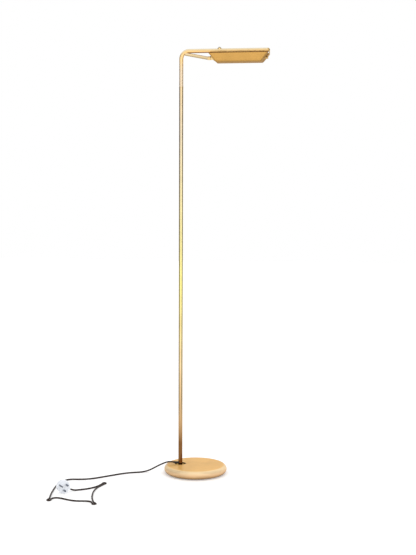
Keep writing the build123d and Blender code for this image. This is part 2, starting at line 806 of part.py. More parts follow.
# Leads: up the stem, along the arm to the switch, and inside the shade
lead_shift = tube_bore_radius - lead_wall_gap - lead_diameter / 2
lead_bottom = stem_bottom + foot_plug_length + lead_end_gap
lead_top = stem_top - sleeve_length - lead_end_gap
with BuildPart() as stem_lead:
    post(lead_diameter / 2, stem_x + lead_shift, lead_bottom, lead_top - lead_bottom)
save(stem_lead, "stem_lead")

arm_lead_start = stem_x + arm_bend_radius
arm_lead_end = switch_x - switch_body_diameter / 2 - lead_wall_gap
with BuildPart() as arm_lead:
    rod(lead_diameter / 2, arm_lead_start, arm_height - lead_shift, arm_lead_end - arm_lead_start)
save(arm_lead, "arm_lead")

feed_start = nut_start_x + pin_end + feed_gap
feed_end = shade_middle - bridge_half - feed_gap
with BuildPart() as lamp_leads:
    rod(feed_diameter / 2, feed_start, pivot_height, feed_end - feed_start)
    with Locations((shade_middle - holder_outer, cross_lead_shift, bridge_floor + cross_lead_gap)):
        with Locations((0, 0, cross_lead_diameter / 2)):
            Cylinder(cross_lead_diameter / 2, holder_outer * 2, rotation=(0, 90, 0), align=BOTTOM)
save(lamp_leads, "lamp_leads")

# Mains plug, standing on its round edge with its pins to the front
plug_radius = plug_diameter / 2
roll = radians(plug_roll)
plug_normal = Vector(cos(radians(plug_face_heading)), sin(radians(plug_face_heading)), 0)
plug_across = Vector(-plug_normal.Y, plug_normal.X, 0)
plug_down = plug_across * cos(roll) + Vector(0, 0, -sin(roll))
plug_centre = (plug_face_x, plug_face_y, plug_radius + plug_floor_gap)
plug_face = Plane(plug_centre, x_dir=plug_down, z_dir=plug_normal)

pin_row_x = pin_row_shift
earth_pin_x = pin_row_x - earth_pin_rise
pin_places = [(pin_row_x, -pin_spacing / 2), (pin_row_x, pin_spacing / 2)]

with BuildPart() as plug_pins:
    with BuildSketch(plug_face.offset(-pin_root)):
        with Locations(*pin_places):
            Rectangle(live_pin_thickness, live_pin_width)
    extrude(amount=pin_root + live_pin_length)
    with BuildSketch(plug_face.offset(-pin_root)):
        with Locations((earth_pin_x, 0)):
            Rectangle(earth_pin_depth, earth_pin_width)
    extrude(amount=pin_root + earth_pin_length)
save(plug_pins, "plug_pins")

with BuildPart() as plug_base:
    with BuildSketch(plug_face.offset(-plug_base_thickness)):
        Circle(plug_radius)
    extrude(amount=plug_base_thickness)
    fillet(plug_base.faces().sort_by(Axis(plug_face.origin, plug_normal))[-1].edges(), plug_edge)
    with BuildSketch(plug_face.offset(-pin_root)):
        with Locations(*pin_places):
            Rectangle(live_pin_thickness + glue_gap * 2, live_pin_width + glue_gap * 2)
        with Locations((earth_pin_x, 0)):
            Rectangle(earth_pin_depth + glue_gap * 2, earth_pin_width + glue_gap * 2)
    extrude(amount=pin_root, mode=Mode.SUBTRACT)
    with BuildSketch(plug_face):
        with Locations((plug_screw_shift, 0)):
            Circle(plug_screw_diameter / 2 + glue_gap)
    extrude(amount=-plug_screw_depth, mode=Mode.SUBTRACT)
save(plug_base, "plug_base")

cover_front = plug_face.offset(-plug_base_thickness)
sleeve_plane = Plane(
    cover_front.from_local_coords((plug_radius, 0, -plug_cover_thickness / 2)), z_dir=plug_down
)
with BuildPart() as plug_cover:
    with BuildSketch(cover_front):
        Circle(plug_radius)
    extrude(amount=-plug_cover_thickness)
    fillet(plug_cover.faces().sort_by(Axis(plug_face.origin, plug_normal))[0].edges(), plug_cover_edge)
    with BuildSketch(sleeve_plane.offset(-plug_sleeve_length)):
        Circle(plug_sleeve_diameter / 2)
    with BuildSketch(sleeve_plane.offset(plug_sleeve_length)):
        Circle(bush_tip_diameter / 2)
    loft()
save(plug_cover, "plug_cover")

with BuildPart() as plug_screw:
    with BuildSketch(plug_face.offset(-plug_screw_depth)):
        with Locations((plug_screw_shift, 0)):
            Circle(plug_screw_diameter / 2)
    extrude(amount=plug_screw_depth - plug_screw_sink)
    with BuildSketch(plug_face):
        with Locations((plug_screw_shift, 0)):
            Rectangle(plug_screw_diameter, plug_slot_width)
    extrude(amount=-plug_screw_sink * 2, mode=Mode.SUBTRACT)
save(plug_screw, "plug_screw")

# Flex: from the bush over the base's edge, along the floor, through three tight folds to the plug
flex_radius = flex_diameter / 2
flex_start = bush_root + bush_direction * bush_length
flex_end = sleeve_plane.from_local_coords((0, 0, plug_sleeve_length))
flex_floor = flex_radius + flex_floor_gap
flex_over_base = [
    (-113.5, -17.5, 44.0),
    (-128.0, -19.5, 38.5),
    (-146.0, -21.0, 30.0),
    (-163.0, -22.5, 20.5),
    (-180.0, -25.5, 11.5),
    (-198.0, -30.5, 5.3),
]
flex_along_floor = [
    (-218.0, -38.0),
    (-239.0, -46.0),
    (-263.0, -57.5),
    (-292.0, -79.0),
    (-321.0, -108.5),
    (-350.0, -137.0),
    (-377.0, -163.0),
    (-403.0, -179.0),
    (-432.0, -187.0),
    (-459.0, -189.0),
    (-477.0, -203.0),
    (-487.0, -228.0),
    (-491.0, -262.0),
    (-489.5, -300.0),
    (-485.0, -340.0),
    (-479.5, -380.0),
    (-473.5, -415.0),
    (-468.3, -440.0),
    (-464.6, -456.0),
    (-463.7, -469.9),
    (-467.5, -480.3),
    (-463.5, -486.0),
    (-456.5, -486.0),
    (-452.5, -480.3),
    (-456.3, -469.9),
    (-454.8, -458.0),
    (-448.5, -449.8),
    (-437.0, -447.3),
    (-421.0, -451.5),
    (-402.0, -461.5),
    (-379.0, -471.5),
    (-355.0, -475.5),
    (-333.0, -471.8),
    (-317.0, -470.3),
    (-306.0, -474.0),
    (-299.5, -481.5),
    (-294.2, -490.8),
    (-291.9, -501.6),
    (-285.5, -504.4),
    (-279.5, -500.6),
    (-279.2, -493.7),
    (-287.8, -486.9),
    (-293.5, -476.5),
    (-300.5, -460.0),
    (-309.0, -437.0),
    (-317.5, -407.0),
    (-325.0, -372.0),
    (-329.8, -338.0),
    (-330.5, -310.0),
    (-329.0, -286.0),
    (-324.0, -266.0),
    (-319.5, -250.0),
    (-316.6, -235.5),
    (-310.8, -226.2),
    (-313.6, -219.7),
    (-320.4, -218.3),
    (-325.5, -223.1),
    (-324.0, -234.0),
    (-327.0, -248.0),
    (-332.0, -266.0),
    (-339.0, -283.0),
    (-349.0, -298.0),
    (-362.0, -312.0),
    (-377.0, -323.5),
    (-392.0, -332.5),
    (-402.5, -338.0),
]
flex_points = [
    flex_start,
    flex_start + bush_direction * flex_lead,
    *[Vector(*place) for place in flex_over_base],
    *[Vector(x, y, flex_floor) for x, y in flex_along_floor],
    flex_end + plug_down * flex_plug_lead,
    flex_end,
]
flex_radii = []
for before, corner, after in zip(flex_points, flex_points[1:], flex_points[2:]):
    turn = radians((corner - before).get_angle(after - corner))
    shorter_run = min((corner - before).length, (after - corner).length)
    flex_radii.append(flex_arc_share * shorter_run / tan(turn / 2))

with BuildPart() as cord:
    with BuildLine() as flex_path:
        FilletPolyline(*flex_points, radius=flex_radii)
    with BuildSketch(Plane(flex_start, z_dir=bush_direction)):
        Circle(flex_radius)
    sweep()
save(cord, "cord")

flex_length = sum(edge.length for edge in flex_path.edges())
print("flex length", round(flex_length, 1))
print("flex volume share", round(cord.part.volume / (pi * flex_radius**2 * flex_length), 4))
print("flex radii", [round(radius, 1) for radius in flex_radii])
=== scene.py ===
"""Brass floor lamp: finishes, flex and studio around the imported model, in metres."""
from math import cos, pi, radians, sin

import bpy
from mathutils import Matrix, Vector


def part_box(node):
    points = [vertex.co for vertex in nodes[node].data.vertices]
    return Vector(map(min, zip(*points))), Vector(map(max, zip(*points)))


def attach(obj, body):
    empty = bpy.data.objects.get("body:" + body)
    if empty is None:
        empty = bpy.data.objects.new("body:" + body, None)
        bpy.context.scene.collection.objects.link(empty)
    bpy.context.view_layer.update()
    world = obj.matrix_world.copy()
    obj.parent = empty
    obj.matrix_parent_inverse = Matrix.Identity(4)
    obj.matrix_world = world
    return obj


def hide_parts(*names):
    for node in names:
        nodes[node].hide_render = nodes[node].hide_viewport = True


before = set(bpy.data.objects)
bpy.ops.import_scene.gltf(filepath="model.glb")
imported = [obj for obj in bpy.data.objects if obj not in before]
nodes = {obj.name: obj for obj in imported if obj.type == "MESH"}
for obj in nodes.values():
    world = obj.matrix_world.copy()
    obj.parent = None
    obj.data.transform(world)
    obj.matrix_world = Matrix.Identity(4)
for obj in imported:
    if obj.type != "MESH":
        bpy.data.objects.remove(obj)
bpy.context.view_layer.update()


def shade_of(color, factor):
    """A colour made lighter or darker."""
    return tuple(min(1.0, channel * factor) for channel in color)


# Camera of the photograph
IMAGE_HEIGHT = 555
FOCAL_PIXELS = 1062
SENSOR = 36.0
CAMERA_PLACE = (0.7031, -4.1398, 1.1041)
CAMERA_HEADING = radians(9.0)
CAMERA_PITCH = radians(4.307)
CAMERA_ROLL = radians(0.25)

# Studio: a white room and floor, two dark cloths beside the lamp and two soft lamps before it
ROOM_LEVEL = 1.0
FLOOR_SIDE = 28.0
FLOOR_TONE = 0.90
FLOOR_LIFT = 0.25
MATT = 0.9
FLAG_WIDTH = 1.5
FLAG_HEIGHT = 2.5
FACING_SIDEWAYS = (pi / 2, 0, pi / 2)
FLAGS = [
    {"name": "flag_left", "across": -1.15, "tone": 0.03},
    {"name": "flag_right", "across": 1.15, "tone": 0.20},
]
SOFTBOXES = [
    {
        "name": "key", "place": (2.4, -3.0, 1.4), "aim": (0, 0, 0.7),
        "width": 3.0, "height": 2.6, "power": 18,
    },
    {
        "name": "fill", "place": (-2.2, -3.0, 1.4), "aim": (0, 0, 0.9),
        "width": 1.6, "height": 2.2, "power": 6,
    },
]

# Colours, linear
BRASS = (0.86, 0.62, 0.29)
BRASS_EDGE = (0.55, 0.38, 0.20)
BRASS_SHADE = (0.69, 0.39, 0.108)
BRASS_BASE = (0.92, 0.55, 0.18)
# brass of the end bracket, darkened by painted shade
BRASS_BRACKET_PAINTED_SHADE = (0.72, 0.49, 0.20)
# dark brass of the pivot screw and its boss: painted shade
BRASS_PAINTED_SHADE = (0.48, 0.32, 0.12)
# painted pale reflection for the arm's upright above the stem
BRASS_UPRIGHT_PAINTED_REFLECTION = (0.77, 0.61, 0.42)
PIN_METAL = (0.10, 0.12, 0.155)
ZINC = (0.78, 0.80, 0.84)
BUTTON_METAL = (0.30, 0.29, 0.24)
STEEL = (0.56, 0.55, 0.53)
RUBBER = (0.018, 0.015, 0.013)
FLEX = (0.032, 0.018, 0.013)
PLUG_WHITE = (0.87, 0.90, 0.955)
CERAMIC = (0.83, 0.80, 0.73)
FELT = (0.022, 0.021, 0.020)
IRON = (0.07, 0.07, 0.072)
ENAMEL = (0.84, 0.82, 0.77)
ALUMINIUM = (0.88, 0.88, 0.88)
SLEEVE = (0.72, 0.69, 0.60)
TUNGSTEN = (0.30, 0.30, 0.31)
QUARTZ = (0.97, 0.97, 0.96)
BLACK = (0, 0, 0)
WHITE = (1, 1, 1)

# Painted reflection on the stem by height: dark brown at the foot, yellow in the middle, pale towards the
# top
STEM_PAINTED_REFLECTION = [
    (0.12, (0.22, 0.10, 0.032)),
    (0.19, (0.52, 0.32, 0.15)),
    (0.44, (0.90, 0.67, 0.36)),
    (0.76, (0.88, 0.78, 0.27)),
    (1.16, (0.79, 0.67, 0.38)),
    (1.36, (0.72, 0.60, 0.41)),
    (1.66, (0.84, 0.60, 0.29)),
]

# Painted pale reflection on the upright of the arm: its length above the stem, and the length over which it
# then turns gold
UPRIGHT_PALE = 0.06
UPRIGHT_FADE = 0.05

# Painted light and shade by how far a surface faces up, from -1 to 1
# Arm: painted shade and reflection on its underside, painted highlights on its flanks and top
ARM_PAINTED_LIGHT = [
    (-1.0, (0.24, 0.08, 0.012)),
    (-0.78, (0.30, 0.11, 0.018)),
    (-0.6, (0.97, 0.61, 0.23)),
    (0.0, (0.96, 0.66, 0.30)),
    (0.75, (0.93, 0.83, 0.60)),
    (1.0, (0.90, 0.70, 0.38)),
]
# Stay: painted shade on its underside, painted highlight on its top
STAY_PAINTED_LIGHT = [
    (-1.0, (0.42, 0.32, 0.17)),
    (-0.3, (0.74, 0.56, 0.31)),
    (0.2, (0.93, 0.73, 0.43)),
    (1.0, (0.94, 0.76, 0.48)),
]
# Shade: painted shade on its rounded underside
LAMPSHADE_PAINTED_SHADE = [
    (-1.0, shade_of(BRASS_SHADE, 0.65)),
    (-0.85, shade_of(BRASS_SHADE, 0.80)),
    (-0.65, BRASS_SHADE),
    (1.0, BRASS_SHADE),
]
# Shade's end plates: painted shade, darker all over and darkest facing down
LAMPSHADE_END_PAINTED_SHADE = [
    (-1.0, shade_of(BRASS_SHADE, 0.60)),
    (-0.3, shade_of(BRASS_SHADE, 0.70)),
    (1.0, BRASS_SHADE),
]
# Base: painted shade on the underside of its rounded rim, a painted highlight on the rim's upper roll
BASE_PAINTED_LIGHT = [
    (-1.0, (0.36, 0.20, 0.075)),
    (-0.7, (0.44, 0.26, 0.11)),
    (-0.3, (0.68, 0.43, 0.22)),
    (0.1, (0.86, 0.58, 0.32)),
    (0.6, (0.96, 0.73, 0.44)),
    (0.9, (0.97, 0.72, 0.41)),
    (0.99, BRASS_BASE),
]
# Plug pins: painted shade on ends and undersides, painted highlight on their tops
PIN_PAINTED_LIGHT = [
    (-1.0, (0.06, 0.07, 0.09)),
    (0.3, (0.09, 0.105, 0.135)),
    (0.6, (0.40, 0.43, 0.50)),
    (1.0, (0.55, 0.58, 0.65)),
]

# Textures: noise cells to the metre, the finer layers in a noise, and the stretch of a grain
CLOUD_SCALE = 14.0
QUARTZ_SCALE = 120.0
SOFT_SCALE = 180.0
CAST_SCALE = 500.0
BRUSH_SCALE = 700.0
FINE_SCALE = 900.0
WEAVE_SCALE = 2500.0
CLOUD_DETAIL = 4.0
GRAIN_DETAIL = 2.0
ALONG_X = (0.03, 1, 1)
ALONG_Z = (1, 1, 0.03)
ALL_WAYS = (1, 1, 1)

# Spinning rings of the base: their spacing, and the ring spacing of Blender's wave texture at a scale of 1
SPIN_SPACING = 0.0012
WAVE_SPACING = pi / 10
SPIN_WANDER = 1.0

# Part of a noise's range that is used, and what it does to a tone
NOISE_LOW = 0.3
NOISE_HIGH = 0.7
PATINA_SHARE = 0.15
PATINA_RANGE = (0.90, 1.05)
MOTTLE_SHARE = 0.2

# Relief: its strength, its depth, and how far it makes a finish smoother and rougher
BRASS_RELIEF = 0.06
LACQUER_RELIEF = 0.03
GRAIN_DEPTH = 0.0002
GRAIN_SWING = (0.03, 0.05)
CAST_DEPTH = 0.0004
CAST_SWING = (0.05, 0.08)
QUARTZ_RELIEF = 0.05
QUARTZ_DEPTH = 0.0003

# Gloss
BRASS_COAT = 0.1
BRASS_COAT_ROUGHNESS = 0.08
LACQUER_COAT_ROUGHNESS = 0.12
LACQUER_GLOSS = 0.15
FLEX_GLOSS = 0.2
QUARTZ_IOR = 1.46

# Wires: the order of their smooth lines
SPLINE_ORDER = 3


def material(name, color, metallic, roughness):
    """Principled material and the handles for adding nodes to it."""
    made = bpy.data.materials.new(name)
    made.use_nodes = True
    shader = made.node_tree.nodes["Principled BSDF"]
    shader.inputs["Base Color"].default_value = (*color, 1)
    shader.inputs["Metallic"].default_value = metallic
    shader.inputs["Roughness"].default_value = roughness
    return made, made.node_tree, shader


def feed(tree, socket, value):
    """Links another node's output to a socket, or sets the socket to a constant."""
    if isinstance(value, bpy.types.NodeSocket):
        tree.links.new(value, socket)
    else:
        socket.default_value = value


def mix(tree, share, first, second, blend="MIX"):
    """Mixes two colours by a share."""
    made = tree.nodes.new("ShaderNodeMix")
    made.data_type = "RGBA"
    made.blend_type = blend
    feed(tree, made.inputs["Factor"], share)
    feed(tree, made.inputs["A"], first)
    feed(tree, made.inputs["B"], second)
    return made.outputs["Result"]


def calculate(tree, operation, first, second):
    """Works out one number from two."""
    made = tree.nodes.new("ShaderNodeMath")
    made.operation = operation
    feed(tree, made.inputs[0], first)
    feed(tree, made.inputs[1], second)
    return made.outputs["Value"]


def noise(tree, scale, stretch=ALL_WAYS, detail=CLOUD_DETAIL):
    """Noise in the lamp's own coordinates, stretched along an axis by scaling it less there."""
    place = tree.nodes.new("ShaderNodeTexCoord")
    mapping = tree.nodes.new("ShaderNodeMapping")
    mapping.inputs["Scale"].default_value = stretch
    texture = tree.nodes.new("ShaderNodeTexNoise")
    texture.inputs["Scale"].default_value = scale
    texture.inputs["Detail"].default_value = detail
    tree.links.new(place.outputs["Object"], mapping.inputs["Vector"])
    tree.links.new(mapping.outputs["Vector"], texture.inputs["Vector"])
    return texture.outputs["Fac"]


def brushed(tree):
    """Fine brushing along the shade."""
    return noise(tree, BRUSH_SCALE, ALONG_X, GRAIN_DETAIL)


def spun(tree):
    """Fine rings about the base's upright middle line, as spinning leaves them."""
    place = tree.nodes.new("ShaderNodeTexCoord")
    wave = tree.nodes.new("ShaderNodeTexWave")
    wave.wave_type = "RINGS"
    wave.rings_direction = "Z"
    wave.inputs["Scale"].default_value = WAVE_SPACING / SPIN_SPACING
    wave.inputs["Distortion"].default_value = SPIN_WANDER
    tree.links.new(place.outputs["Object"], wave.inputs["Vector"])
    return wave.outputs["Fac"]


def ramp(tree, value, stops):
    """Colour by a value from 0 to 1, through stops of position and colour."""
    made = tree.nodes.new("ShaderNodeValToRGB")
    elements = made.color_ramp.elements
    elements.remove(elements[1])
    for index, (position, color) in enumerate(stops):
        stop = elements.new(position) if index else elements[0]
        stop.position = position
        stop.color = (*color, 1)
    tree.links.new(value, made.inputs["Fac"])
    return made.outputs["Color"]


def spread(tree, value, start, end, low=0.0, high=1.0):
    """Maps a value's range from start to end onto low to high."""
    ranged = tree.nodes.new("ShaderNodeMapRange")
    ranged.inputs["From Min"].default_value = start
    ranged.inputs["From Max"].default_value = end
    ranged.inputs["To Min"].default_value = low
    ranged.inputs["To Max"].default_value = high
    tree.links.new(value, ranged.inputs["Value"])
    return ranged.outputs["Result"]


def upward(tree, source, start, end):
    """Z of the part's own places or of its surface normals, as a share of the way from start to end."""
    place = tree.nodes.new("ShaderNodeTexCoord")
    parts = tree.nodes.new("ShaderNodeSeparateXYZ")
    tree.links.new(place.outputs[source], parts.inputs["Vector"])
    return spread(tree, parts.outputs["Z"], start, end)


def bump(tree, shader, value, strength, depth):
    """Fine relief from a value."""
    relief = tree.nodes.new("ShaderNodeBump")
    relief.inputs["Strength"].default_value = strength
    relief.inputs["Distance"].default_value = depth
    tree.links.new(value, relief.inputs["Height"])
    tree.links.new(relief.outputs["Normal"], shader.inputs["Normal"])


def rough(tree, shader, value, smoother, rougher):
    """Lets a noise vary the roughness about the one that is set."""
    middle = shader.inputs["Roughness"].default_value
    varied = spread(tree, value, NOISE_LOW, NOISE_HIGH, middle - smoother, middle + rougher)
    tree.links.new(varied, shader.inputs["Roughness"])


def brass(name, color, roughness, scale, stretch=ALL_WAYS, metallic=1.0):
    """Polished brass with fine grain along one direction and a thin clear coat."""
    made, tree, shader = material(name, color, metallic, roughness)
    fine = noise(tree, scale, stretch, GRAIN_DETAIL)
    rough(tree, shader, fine, *GRAIN_SWING)
    bump(tree, shader, fine, BRASS_RELIEF, GRAIN_DEPTH)
    shader.inputs["Specular Tint"].default_value = (*BRASS_EDGE, 1)
    shader.inputs["Coat Weight"].default_value = BRASS_COAT
    shader.inputs["Coat Roughness"].default_value = BRASS_COAT_ROUGHNESS
    return made


def lacquer(name, color, roughness, metallic, coat, grain):
    """Satin gold lacquer on metal: the grain of its making under a clear coat."""
    made, tree, shader = material(name, color, metallic, roughness)
    fine = grain(tree)
    rough(tree, shader, fine, *GRAIN_SWING)
    bump(tree, shader, fine, LACQUER_RELIEF, GRAIN_DEPTH)
    shader.inputs["Specular IOR Level"].default_value = LACQUER_GLOSS
    shader.inputs["Specular Tint"].default_value = (*BRASS_EDGE, 1)
    shader.inputs["Coat Weight"].default_value = coat
    shader.inputs["Coat Roughness"].default_value = LACQUER_COAT_ROUGHNESS
    return made


def surface(name, color, roughness, metallic, scale, relief):
    """Moulded, cast or drawn surface with a fine relief."""
    made, tree, shader = material(name, color, metallic, roughness)
    fine = noise(tree, scale)
    rough(tree, shader, fine, *CAST_SWING)
    bump(tree, shader, fine, relief, CAST_DEPTH)
    return made


def mottled(made, scale, darker, lighter):
    """Gives a finish slight changes of tone about its own colour."""
    tree = made.node_tree
    target = tree.nodes["Principled BSDF"].inputs["Base Color"]
    color = target.default_value[:3]
    stops = [(NOISE_LOW, shade_of(color, darker)), (NOISE_HIGH, shade_of(color, lighter))]
    tree.links.new(ramp(tree, noise(tree, scale), stops), target)
    return made


def graded(made, source, tones):
    """Paints light and shade into a finish: tones along Z of the part's own places or of its surface
    normals, times a slow patina of clouds.
    """
    tree = made.node_tree
    low = tones[0][0]
    high = tones[-1][0]
    tone_stops = [((level - low) / (high - low), tone) for level, tone in tones]
    cloud_stops = [(NOISE_LOW, BLACK), (NOISE_HIGH, WHITE)]
    tone = ramp(tree, upward(tree, source, low, high), tone_stops)
    clouds = ramp(tree, noise(tree, CLOUD_SCALE), cloud_stops)
    # the painted light and shade, with a slow patina of clouds over it
    patina = mix(tree, PATINA_SHARE, tone, clouds, "MULTIPLY")
    tree.links.new(patina, tree.nodes["Principled BSDF"].inputs["Base Color"])
    return made


def faded(made, tone, start, end):
    """Lets one tone, below the height start, pass into the finish's own colour, above the height end."""
    tree = made.node_tree
    target = tree.nodes["Principled BSDF"].inputs["Base Color"]
    own = target.links[0].from_socket
    tree.links.new(mix(tree, upward(tree, "Object", start, end), (*tone, 1), own), target)
    return made


def lined(made, middle, tone):
    """Enamels the inside of a hollow: the faces that look towards its middle."""
    tree = made.node_tree
    shader = tree.nodes["Principled BSDF"]
    outer = shader.inputs["Base Color"].links[0].from_socket
    place = tree.nodes.new("ShaderNodeTexCoord")
    away = tree.nodes.new("ShaderNodeVectorMath")
    away.operation = "SUBTRACT"
    away.inputs[1].default_value = middle
    facing = tree.nodes.new("ShaderNodeVectorMath")
    facing.operation = "DOT_PRODUCT"
    tree.links.new(place.outputs["Object"], away.inputs[0])
    tree.links.new(away.outputs["Vector"], facing.inputs[0])
    tree.links.new(place.outputs["Normal"], facing.inputs[1])
    outside = calculate(tree, "GREATER_THAN", facing.outputs["Value"], 0)
    metal = calculate(tree, "MULTIPLY", outside, shader.inputs["Metallic"].default_value)
    tree.links.new(mix(tree, outside, (*tone, 1), outer), shader.inputs["Base Color"])
    tree.links.new(metal, shader.inputs["Metallic"])
    return made


def plain(name, color, roughness, metallic=0.0, scale=SOFT_SCALE, relief=0.1, vary=0.10):
    """Surface of one colour with slight changes of tone."""
    made = surface(name, color, roughness, metallic, scale, relief)
    return mottled(made, scale * MOTTLE_SHARE, 1 - vary, 1 + vary)


def old_brass(name, color, roughness):
    """Brass of a small fitting, with slow patina."""
    return mottled(brass(name, color, roughness, FINE_SCALE), CLOUD_SCALE, *PATINA_RANGE)


def stem_brass():
    """Brass of the stem, brushed along it, with reflections painted into its colour by height."""
    made = brass("brass_stem", BRASS, roughness=0.16, scale=BRUSH_SCALE, stretch=ALONG_Z)
    return graded(made, "Object", STEM_PAINTED_REFLECTION)


def arm_brass():
    """Brass of the arm, with light and shade painted in by the way its faces look, and a painted pale
    reflection where it stands upright on the stem.
    """
    made = brass("brass_arm", BRASS, roughness=0.20, scale=BRUSH_SCALE, stretch=ALONG_X, metallic=0.65)
    pale_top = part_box("stem_tube")[1][2] + UPRIGHT_PALE
    return faded(graded(made, "Normal", ARM_PAINTED_LIGHT), BRASS_UPRIGHT_PAINTED_REFLECTION, pale_top, pale_top + UPRIGHT_FADE)


def stay_brass():
    """Brass of the stay, brushed along it, with painted shade below and a painted highlight on top."""
    made = brass("brass_stay", BRASS, roughness=0.20, scale=BRUSH_SCALE, stretch=ALONG_X, metallic=0.65)
    return graded(made, "Normal", STAY_PAINTED_LIGHT)


def shade_gold(name, tones):
    """Brushed gold lacquer of the shade, with shade painted in by the way its faces look, and white enamel
    inside.
    """
    made = lacquer(name, BRASS_SHADE, roughness=0.45, metallic=0.45, coat=0.0, grain=brushed)
    low, high = (Vector(corner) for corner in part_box("shade_skin"))
    return lined(graded(made, "Normal", tones), (low + high) / 2, ENAMEL)


def base_gold():
    """Spun gold lacquer of the base, with a painted highlight on its rounded rim and painted shade beneath
    it.
    """
    made = lacquer("gold_base", BRASS_BASE, roughness=0.36, metallic=0.3, coat=0.1, grain=spun)
    return graded(made, "Normal", BASE_PAINTED_LIGHT)


def dull_pins():
    """Dull metal of the plug's pins, with a painted highlight on top and painted shade on the ends and
    undersides.
    """
    made = surface("dull_pins", PIN_METAL, roughness=0.45, metallic=0.6, scale=FINE_SCALE, relief=0.05)
    return graded(made, "Normal", PIN_PAINTED_LIGHT)


def flex_sheath():
    """Soft sheath of the flex, with little gloss."""
    made = plain("flex_sheath", FLEX, roughness=0.45, scale=FINE_SCALE, relief=0.05)
    made.node_tree.nodes["Principled BSDF"].inputs["Specular IOR Level"].default_value = FLEX_GLOSS
    return made


def clear_quartz():
    """Drawn quartz of the lamp, faintly uneven."""
    made, tree, shader = material("quartz", QUARTZ, metallic=0.0, roughness=0.03)
    shader.inputs["Transmission Weight"].default_value = 1.0
    shader.inputs["IOR"].default_value = QUARTZ_IOR
    bump(tree, shader, noise(tree, QUARTZ_SCALE), QUARTZ_RELIEF, QUARTZ_DEPTH)
    return made


finishes = {
    "tube": stem_brass(),
    "arm": arm_brass(),
    "stay": stay_brass(),
    "fitting": old_brass("brass_fitting", BRASS, roughness=0.20),
    "bracket": old_brass("brass_bracket", BRASS_BRACKET_PAINTED_SHADE, roughness=0.32),
    "painted_shade": old_brass("brass_painted_shade", BRASS_PAINTED_SHADE, roughness=0.32),
    "shade": shade_gold("gold_shade", LAMPSHADE_PAINTED_SHADE),
    # end plates darkened by painted shade
    "shade_end": shade_gold("gold_shade_end", LAMPSHADE_END_PAINTED_SHADE),
    "base": base_gold(),
    "pins": dull_pins(),
    "button": plain("button_metal", BUTTON_METAL, 0.35, metallic=1.0, scale=FINE_SCALE, relief=0.05),
    "zinc": plain("zinc_plate", ZINC, 0.35, metallic=0.5, scale=FINE_SCALE, relief=0.05),
    "steel": plain("plated_steel", STEEL, 0.30, metallic=1.0, scale=FINE_SCALE, relief=0.05),
    "rubber": plain("black_rubber", RUBBER, 0.55),
    "flex": flex_sheath(),
    "plug": plain("plug_white", PLUG_WHITE, 0.28, scale=FINE_SCALE, relief=0.03, vary=0.03),
    "ceramic": plain("ceramic", CERAMIC, 0.35, scale=CAST_SCALE, relief=0.06, vary=0.05),
    "felt": plain("felt", FELT, 0.95, scale=WEAVE_SCALE, relief=0.6, vary=0.3),
    "iron": plain("cast_iron", IRON, 0.75, metallic=0.4, scale=CAST_SCALE, relief=0.5, vary=0.25),
    "aluminium": plain(
        "bright_aluminium", ALUMINIUM, 0.34, metallic=1.0, scale=FINE_SCALE, relief=0.01, vary=0.04,
    ),
    "sleeve": plain("woven_sleeve", SLEEVE, 0.8, scale=WEAVE_SCALE, relief=0.4, vary=0.12),
    "tungsten": plain("tungsten", TUNGSTEN, 0.4, metallic=1.0, scale=WEAVE_SCALE, relief=0.05),
    "quartz": clear_quartz(),
}

node_finish = {
    "tube": ["stem_tube", "swivel_bush"],
    "arm": ["arm_tube"],
    "stay": ["stay_tube"],
    "fitting": ["foot_flange", "bracket_screw", "stay_block", "switch_bezel", "left_boss"],
    "bracket": ["end_bracket"],
    "painted_shade": ["pivot_screw", "right_boss"],
    "shade": ["shade_skin"],
    "shade_end": ["shade_end_left", "shade_end_right"],
    "base": ["base_cover"],
    "pins": ["plug_pins"],
    "button": ["switch_button"],
    "zinc": ["plug_screw"],
    "steel": [
        "foot_plug", "foot_washer", "foot_bolt", "retaining_screw", "swivel_spigot",
        "pivot_pin", "pivot_nuts", "holder_bridge", "bridge_studs", "bridge_nuts",
    ],
    "rubber": ["well_liner", "cord_bush", "tilt_washers", "switch_body"],
    "flex": ["stem_lead", "arm_lead"],
    "plug": ["plug_base", "plug_cover"],
    "ceramic": ["lamp_holder_left", "lamp_holder_right", "lamp_caps"],
    "felt": ["floor_pad"],
    "iron": ["base_weight"],
    "aluminium": ["reflector"],
    "sleeve": ["lamp_leads"],
    "tungsten": ["filament"],
    "quartz": ["lamp_tube"],
}
for finish, names in node_finish.items():
    for name in names:
        data = nodes[name].data
        data.materials.clear()
        data.materials.append(finishes[finish])


def nurbs(name, points, thickness, finish, roundness, smoothness):
    """Round wire on one smooth open spline."""
    curve = bpy.data.curves.new(name, "CURVE")
    curve.dimensions = "3D"
    curve.bevel_depth = thickness / 2
    curve.bevel_resolution = roundness
    curve.resolution_u = smoothness
    curve.use_fill_caps = True
    spline = curve.splines.new("NURBS")
    spline.points.add(len(points) - 1)
    for point, place in zip(spline.points, points):
        point.co = (*place, 1)
    spline.order_u = SPLINE_ORDER
    spline.use_endpoint_u = True
    curve.materials.append(finishes[finish])
    piece = bpy.data.objects.new(name, curve)
    bpy.context.scene.collection.objects.link(piece)
    return piece


